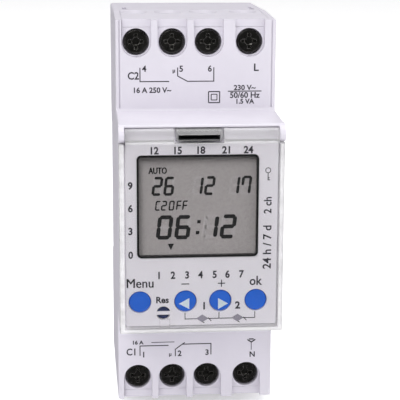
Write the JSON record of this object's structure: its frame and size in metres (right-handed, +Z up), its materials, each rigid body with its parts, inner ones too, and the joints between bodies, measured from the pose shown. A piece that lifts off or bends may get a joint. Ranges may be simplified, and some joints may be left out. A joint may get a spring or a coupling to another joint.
{
  "type": "din rail timer",
  "caption": "Two-module DIN rail digital time switch: hinged clear cover over display and round keys, screw terminals at both ends, sprung rail clip.",
  "frame": {"origin": "centre of the seat that lies on the front face of the 35 mm rail", "axes": "+X to the right as seen from the front, +Y towards the rail and the wall, +Z up"},
  "size_m": [0.0358, 0.06, 0.0924],
  "materials": {
    "housing_plastic": "light lilac-grey moulded, fine satin texture",
    "panel_plastic": "light lilac-grey, smooth, screen printed",
    "clear_cover": "clear polycarbonate",
    "frame_black": "satin black",
    "clear_window": "clear acrylic",
    "display_glass": "grey liquid crystal cell with polariser",
    "light_guide": "milky acrylic",
    "inner_plastic": "natural white moulded",
    "contact_rubber": "layered conductive silicone",
    "mat_rubber": "silicone rubber",
    "board_green": "glass epoxy with solder mask",
    "component_black": "moulded epoxy",
    "component_metal": "nickel plated",
    "relay_case": "moulded case",
    "film_yellow": "moulded box",
    "sleeve_blue": "coated",
    "resistor_body": "cement coated",
    "bar_brass": "tinned brass strip",
    "spring_steel": "spring wire",
    "clip_plastic": "grey moulded nylon",
    "key_blue": "bright blue moulded",
    "reset_dark": "grey moulded",
    "screw_black": "black passivated steel",
    "cage_zinc": "zinc plated steel"
  },
  "bodies": {
    "housing": {"rear_housing": "housing_plastic", "front_housing": "housing_plastic", "terminal_block_top": "housing_plastic", "terminal_block_bottom": "housing_plastic", "wire_guide_top": "housing_plastic", "wire_guide_bottom": "housing_plastic", "key_port": "clear_cover", "faceplate": "panel_plastic", "lcd_bezel": "frame_black", "lcd_window": "clear_window", "lcd_panel": "display_glass", "lcd_backlight": "light_guide", "lcd_holder": "inner_plastic", "zebra_strips": "contact_rubber", "keypad_mat": "mat_rubber", "display_board": "board_green", "card_connector": "frame_black", "microcontroller": "component_black", "crystal": "component_metal", "backup_battery": "component_metal", "battery_holder": "frame_black", "link_header": "frame_black", "link_pins": "component_metal", "power_board": "board_green", "relay_1": "relay_case", "relay_2": "relay_case", "dropper_capacitor": "film_yellow", "buffer_capacitors": "sleeve_blue", "varistor": "sleeve_blue", "rectifier": "component_black", "fuse_resistor": "resistor_body", "regulator": "component_black", "driver_transistors": "component_black", "terminal_bars": "bar_brass", "clip_spring": "spring_steel"},
    "cover": {"cover": "clear_cover"},
    "menu_key": {"button_menu": "key_blue"},
    "left_key": {"button_left": "key_blue"},
    "right_key": {"button_right": "key_blue"},
    "ok_key": {"button_ok": "key_blue"},
    "reset_key": {"button_reset": "reset_dark"},
    "rail_clip": {"rail_clip": "clip_plastic"},
    "screw_4": {"terminal_screw_4": "screw_black"},
    "cage_4": {"terminal_cage_4": "cage_zinc"},
    "screw_5": {"terminal_screw_5": "screw_black"},
    "cage_5": {"terminal_cage_5": "cage_zinc"},
    "screw_6": {"terminal_screw_6": "screw_black"},
    "cage_6": {"terminal_cage_6": "cage_zinc"},
    "screw_l": {"terminal_screw_l": "screw_black"},
    "cage_l": {"terminal_cage_l": "cage_zinc"},
    "screw_1": {"terminal_screw_1": "screw_black"},
    "cage_1": {"terminal_cage_1": "cage_zinc"},
    "screw_2": {"terminal_screw_2": "screw_black"},
    "cage_2": {"terminal_cage_2": "cage_zinc"},
    "screw_3": {"terminal_screw_3": "screw_black"},
    "cage_3": {"terminal_cage_3": "cage_zinc"},
    "screw_n": {"terminal_screw_n": "screw_black"},
    "cage_n": {"terminal_cage_n": "cage_zinc"}
  },
  "joints": [
    {"name": "cover_hinge", "type": "hinge", "parent": "housing", "child": "cover", "pos_m": [0, -0.0535, 0.021], "axis": [-1, 0, 0], "range_deg": [0, 110]},
    {"name": "menu_press", "type": "slide", "parent": "housing", "child": "menu_key", "axis": [0, 1, 0], "range_m": [0, 0.0007], "stiffness_N_per_m": 600, "springref_m": -0.001, "deforming": ["keypad_mat"]},
    {"name": "left_press", "type": "slide", "parent": "housing", "child": "left_key", "axis": [0, 1, 0], "range_m": [0, 0.0007], "stiffness_N_per_m": 600, "springref_m": -0.001},
    {"name": "right_press", "type": "slide", "parent": "housing", "child": "right_key", "axis": [0, 1, 0], "range_m": [0, 0.0007], "stiffness_N_per_m": 600, "springref_m": -0.001},
    {"name": "ok_press", "type": "slide", "parent": "housing", "child": "ok_key", "axis": [0, 1, 0], "range_m": [0, 0.0007], "stiffness_N_per_m": 600, "springref_m": -0.001},
    {"name": "reset_press", "type": "slide", "parent": "housing", "child": "reset_key", "axis": [0, 1, 0], "range_m": [0, 0.0007], "stiffness_N_per_m": 600, "springref_m": -0.001},
    {"name": "clip_slide", "type": "slide", "parent": "housing", "child": "rail_clip", "axis": [0, 0, -1], "range_m": [0, 0.0035], "stiffness_N_per_m": 1500, "springref_m": -0.003, "deforming": ["clip_spring"]},
    {"name": "screw_4_turn", "type": "hinge", "parent": "housing", "child": "screw_4", "pos_m": [-0.0133, -0.036, 0.0392], "axis": [0, 1, 0], "range_deg": [0, 1806]},
    {"name": "cage_4_lift", "type": "slide", "parent": "housing", "child": "cage_4", "axis": [0, -1, 0], "range_m": [0, 0.003]},
    {"name": "screw_5_turn", "type": "hinge", "parent": "housing", "child": "screw_5", "pos_m": [-0.00525, -0.036, 0.0392], "axis": [0, 1, 0], "range_deg": [0, 1806]},
    {"name": "cage_5_lift", "type": "slide", "parent": "housing", "child": "cage_5", "axis": [0, -1, 0], "range_m": [0, 0.003]},
    {"name": "screw_6_turn", "type": "hinge", "parent": "housing", "child": "screw_6", "pos_m": [0.00285, -0.036, 0.0392], "axis": [0, 1, 0], "range_deg": [0, 1806]},
    {"name": "cage_6_lift", "type": "slide", "parent": "housing", "child": "cage_6", "axis": [0, -1, 0], "range_m": [0, 0.003]},
    {"name": "screw_l_turn", "type": "hinge", "parent": "housing", "child": "screw_l", "pos_m": [0.0121, -0.036, 0.0392], "axis": [0, 1, 0], "range_deg": [0, 1806]},
    {"name": "cage_l_lift", "type": "slide", "parent": "housing", "child": "cage_l", "axis": [0, -1, 0], "range_m": [0, 0.003]},
    {"name": "screw_1_turn", "type": "hinge", "parent": "housing", "child": "screw_1", "pos_m": [-0.0133, -0.036, -0.0392], "axis": [0, 1, 0], "range_deg": [0, 1806]},
    {"name": "cage_1_lift", "type": "slide", "parent": "housing", "child": "cage_1", "axis": [0, -1, 0], "range_m": [0, 0.003]},
    {"name": "screw_2_turn", "type": "hinge", "parent": "housing", "child": "screw_2", "pos_m": [-0.00525, -0.036, -0.0392], "axis": [0, 1, 0], "range_deg": [0, 1806]},
    {"name": "cage_2_lift", "type": "slide", "parent": "housing", "child": "cage_2", "axis": [0, -1, 0], "range_m": [0, 0.003]},
    {"name": "screw_3_turn", "type": "hinge", "parent": "housing", "child": "screw_3", "pos_m": [0.00285, -0.036, -0.0392], "axis": [0, 1, 0], "range_deg": [0, 1806]},
    {"name": "cage_3_lift", "type": "slide", "parent": "housing", "child": "cage_3", "axis": [0, -1, 0], "range_m": [0, 0.003]},
    {"name": "screw_n_turn", "type": "hinge", "parent": "housing", "child": "screw_n", "pos_m": [0.0121, -0.036, -0.0392], "axis": [0, 1, 0], "range_deg": [0, 1806]},
    {"name": "cage_n_lift", "type": "slide", "parent": "housing", "child": "cage_n", "axis": [0, -1, 0], "range_m": [0, 0.003]}
  ],
  "couplings": [
    {"joint": "screw_4_turn", "follows": "cage_4_lift", "rad_per_m": 10472},
    {"joint": "screw_5_turn", "follows": "cage_5_lift", "rad_per_m": 10472},
    {"joint": "screw_6_turn", "follows": "cage_6_lift", "rad_per_m": 10472},
    {"joint": "screw_l_turn", "follows": "cage_l_lift", "rad_per_m": 10472},
    {"joint": "screw_1_turn", "follows": "cage_1_lift", "rad_per_m": 10472},
    {"joint": "screw_2_turn", "follows": "cage_2_lift", "rad_per_m": 10472},
    {"joint": "screw_3_turn", "follows": "cage_3_lift", "rad_per_m": 10472},
    {"joint": "screw_n_turn", "follows": "cage_n_lift", "rad_per_m": 10472}
  ]
}
